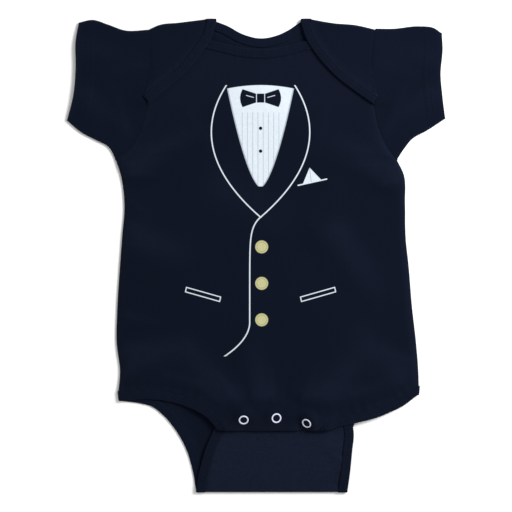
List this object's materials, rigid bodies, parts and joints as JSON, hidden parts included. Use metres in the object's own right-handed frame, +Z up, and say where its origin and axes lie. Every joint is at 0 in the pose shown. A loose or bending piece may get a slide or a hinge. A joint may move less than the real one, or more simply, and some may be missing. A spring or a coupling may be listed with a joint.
{
  "type": "baby onesie laid flat",
  "caption": "Short-sleeved baby bodysuit with lap shoulders, rib bands and a snapped crotch, lying flat with its front up.",
  "frame": {"origin": "on the surface it lies on, under the middle of its outline", "axes": "+Z up, out of the front side; +Y from the crotch to the neck; +X to the right as seen from above"},
  "size_m": [0.3322, 0.4163, 0.0089],
  "materials": {
    "jersey": "soft navy cotton knit, matte",
    "rib": "navy cotton rib binding, matte",
    "snap_ring": "glossy white enamelled ring",
    "snap_core": "plain metal stud and socket"
  },
  "bodies": {
    "root": {"back_panel": "jersey", "front_panel": "jersey", "sleeve_left": "jersey", "sleeve_right": "jersey", "back_neck_band": "rib", "front_neck_band": "rib", "leg_band_left": "rib", "leg_band_right": "rib", "snap_left_back_ring": "snap_ring", "snap_left_stud": "snap_core", "snap_left_socket": "snap_core", "snap_left_front_ring": "snap_ring", "snap_middle_back_ring": "snap_ring", "snap_middle_stud": "snap_core", "snap_middle_socket": "snap_core", "snap_middle_front_ring": "snap_ring", "snap_right_back_ring": "snap_ring", "snap_right_stud": "snap_core", "snap_right_socket": "snap_core", "snap_right_front_ring": "snap_ring"}
  },
  "joints": []
}
